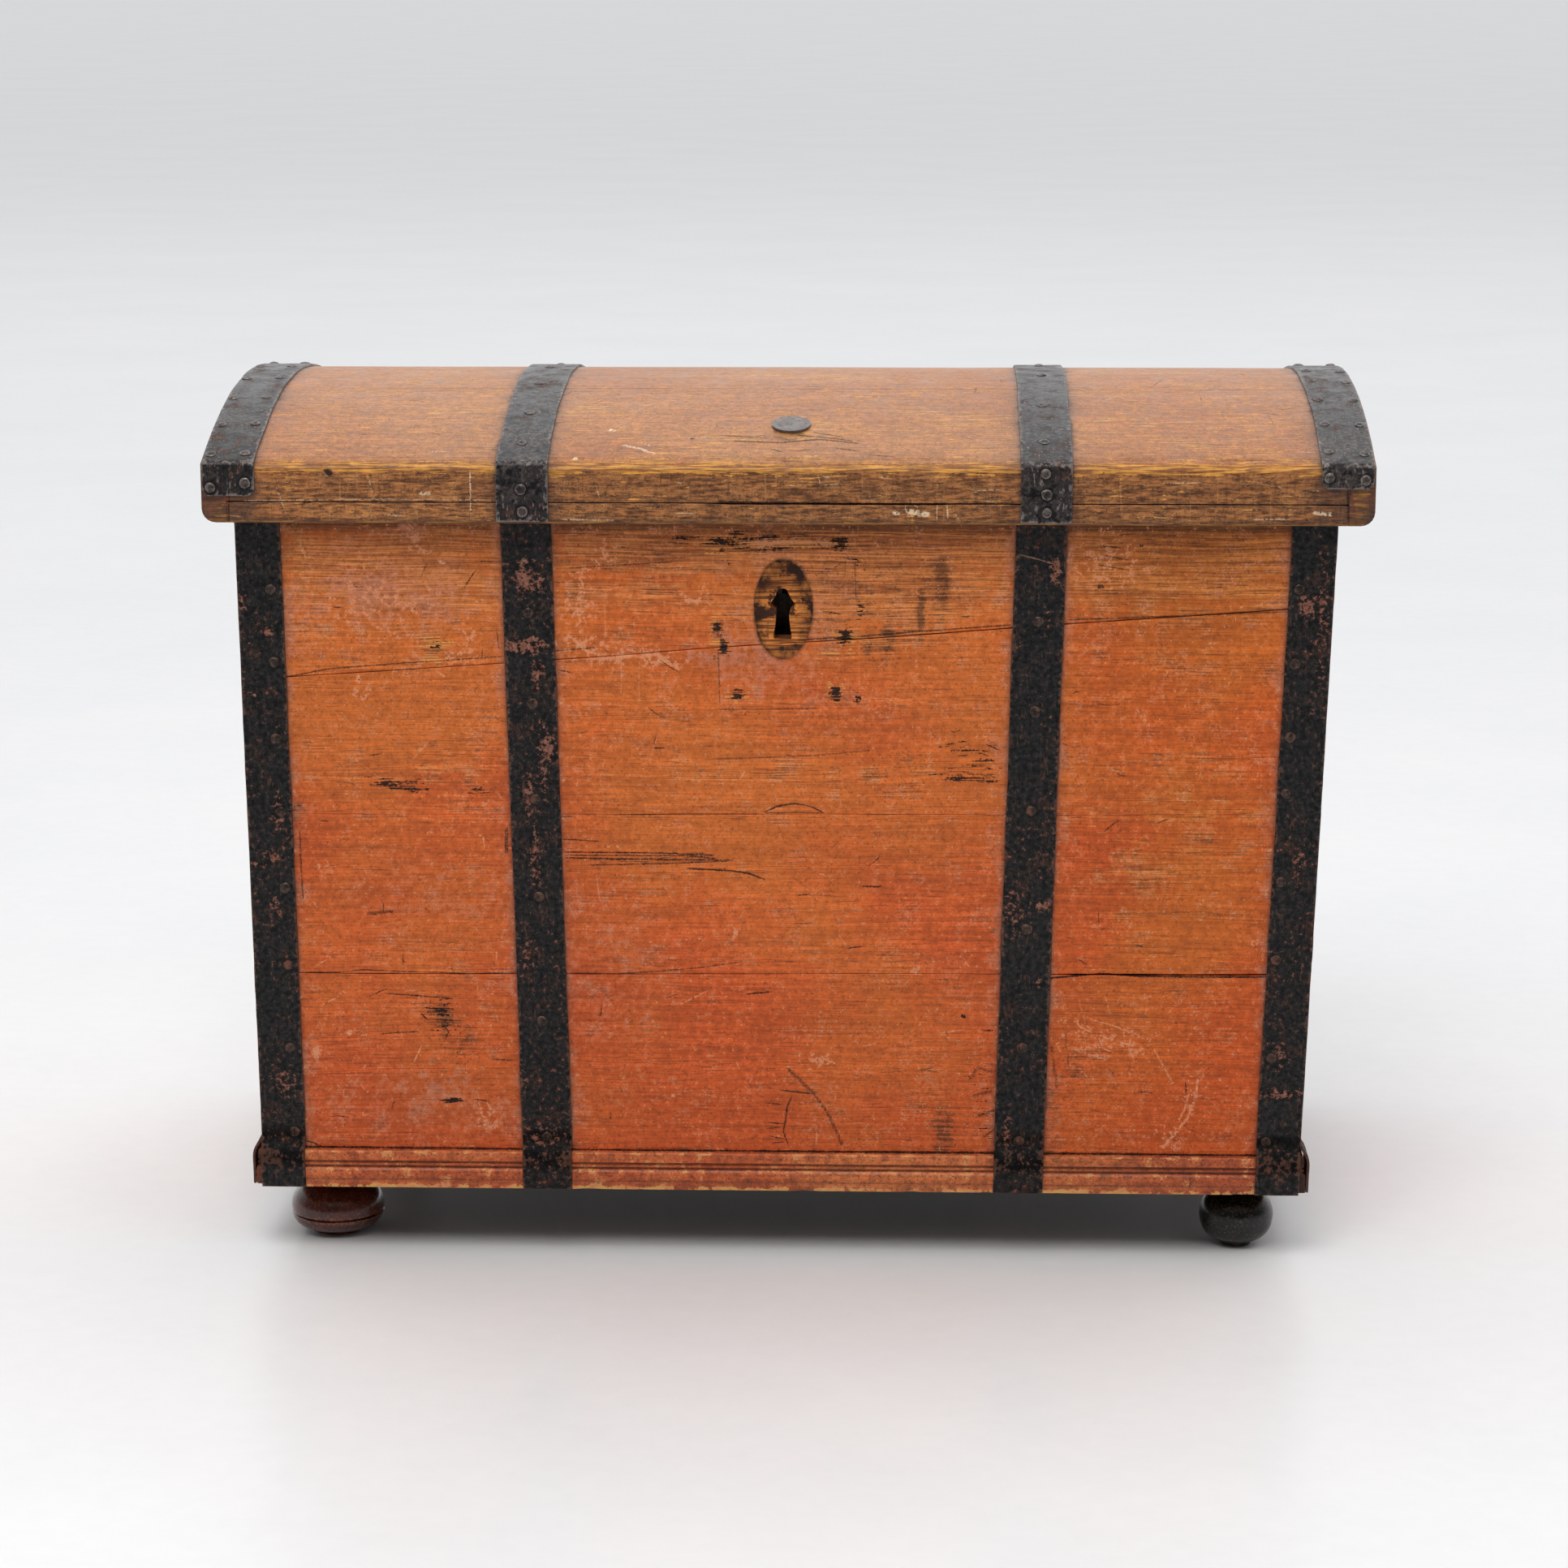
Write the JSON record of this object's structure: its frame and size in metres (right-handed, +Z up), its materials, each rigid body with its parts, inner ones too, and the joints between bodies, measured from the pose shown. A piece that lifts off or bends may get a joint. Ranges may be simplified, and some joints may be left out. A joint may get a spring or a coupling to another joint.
{
  "type": "dome lid chest",
  "caption": "Dome-lidded pine chest in worn orange-red paint, bound with black iron straps and corner irons, on turned bun feet; hinged lid, chest lock and bail handles.",
  "frame": {"origin": "on the floor, under the middle of the chest's box", "axes": "+X along the length, towards the right end seen from the front; +Y from the front to the hinged back; +Z up"},
  "size_m": [1, 0.5544, 0.7646],
  "materials": {
    "painted_wall": "worn orange-red oil paint on pine, matt to satin",
    "painted_lid": "rubbed red-brown paint on pine with ochre showing through",
    "moulding_paint": "worn red-brown paint, bare ochre edges",
    "back_wood": "thin weathered paint on pine",
    "bare_wood": "bare aged pine",
    "body_iron": "black paint on forged iron, rust and red paint showing through chips",
    "lid_iron": "worn dark forged iron",
    "forged_iron": "dark forged iron",
    "nail_iron": "hand-made nails, dull iron with rust",
    "lock_iron": "dull iron with brown rust",
    "foot_red": "glossy red-brown varnish",
    "foot_black": "black paint, worn at the edges"
  },
  "bodies": {
    "chest": {"back_board_lower": "back_wood", "back_board_middle": "back_wood", "back_board_upper": "back_wood", "back_hinge_strap_left": "body_iron", "back_hinge_strap_right": "body_iron", "back_iron_nails": "nail_iron", "base_moulding_front": "moulding_paint", "base_moulding_left": "moulding_paint", "base_moulding_right": "moulding_paint", "bottom_board_back": "bare_wood", "bottom_board_front": "bare_wood", "bottom_board_middle": "bare_wood", "corner_iron_back_left": "body_iron", "corner_iron_back_right": "body_iron", "corner_iron_front_left": "body_iron", "corner_iron_front_right": "body_iron", "end_board_left_lower": "painted_wall", "end_board_left_upper": "painted_wall", "end_board_right_lower": "painted_wall", "end_board_right_upper": "painted_wall", "foot_back_left": "foot_red", "foot_back_right": "foot_black", "foot_front_left": "foot_red", "foot_front_right": "foot_black", "front_board_bottom": "painted_wall", "front_board_lower": "painted_wall", "front_board_top": "painted_wall", "front_board_upper": "painted_wall", "front_iron_nails": "nail_iron", "front_strap_left": "body_iron", "front_strap_right": "body_iron", "handle_eyes_left": "forged_iron", "handle_eyes_right": "forged_iron", "handle_nails": "nail_iron", "hinge_pin_left": "forged_iron", "hinge_pin_right": "forged_iron", "lock_bridge": "lock_iron", "lock_case": "lock_iron", "lock_key_post": "lock_iron", "lock_plate": "lock_iron", "side_iron_nails": "nail_iron", "till_bottom_board": "bare_wood", "till_side_board": "bare_wood"},
    "lid": {"lid_back_board": "painted_lid", "lid_cleat_left": "painted_lid", "lid_cleat_right": "painted_lid", "lid_end_strap_left": "lid_iron", "lid_end_strap_right": "lid_iron", "lid_front_board": "painted_lid", "lid_front_lip": "painted_lid", "lid_middle_board": "painted_lid", "lid_strap_left": "lid_iron", "lid_strap_nails": "nail_iron", "lid_strap_right": "lid_iron", "lock_staple": "lock_iron", "staple_disc": "lid_iron"},
    "lock_bolt": {"lock_bolt": "lock_iron"},
    "bail_left": {"handle_bail_left": "forged_iron"},
    "bail_right": {"handle_bail_right": "forged_iron"}
  },
  "joints": [
    {"name": "lid_hinge", "type": "hinge", "parent": "chest", "child": "lid", "pos_m": [0, 0.27225, 0.676], "axis": [-1, 0, 0], "range_deg": [0, 100]},
    {"name": "lock_bolt_slide", "type": "slide", "parent": "chest", "child": "lock_bolt", "axis": [1, 0, 0], "range_m": [0, 0.018]},
    {"name": "bail_left_swing", "type": "hinge", "parent": "chest", "child": "bail_left", "pos_m": [-0.48073, 0.01035, 0.43184], "axis": [0, 1, 0], "range_deg": [0, 95]},
    {"name": "bail_right_swing", "type": "hinge", "parent": "chest", "child": "bail_right", "pos_m": [0.4716, 0.01035, 0.43166], "axis": [0, -1, 0], "range_deg": [0, 95]}
  ]
}
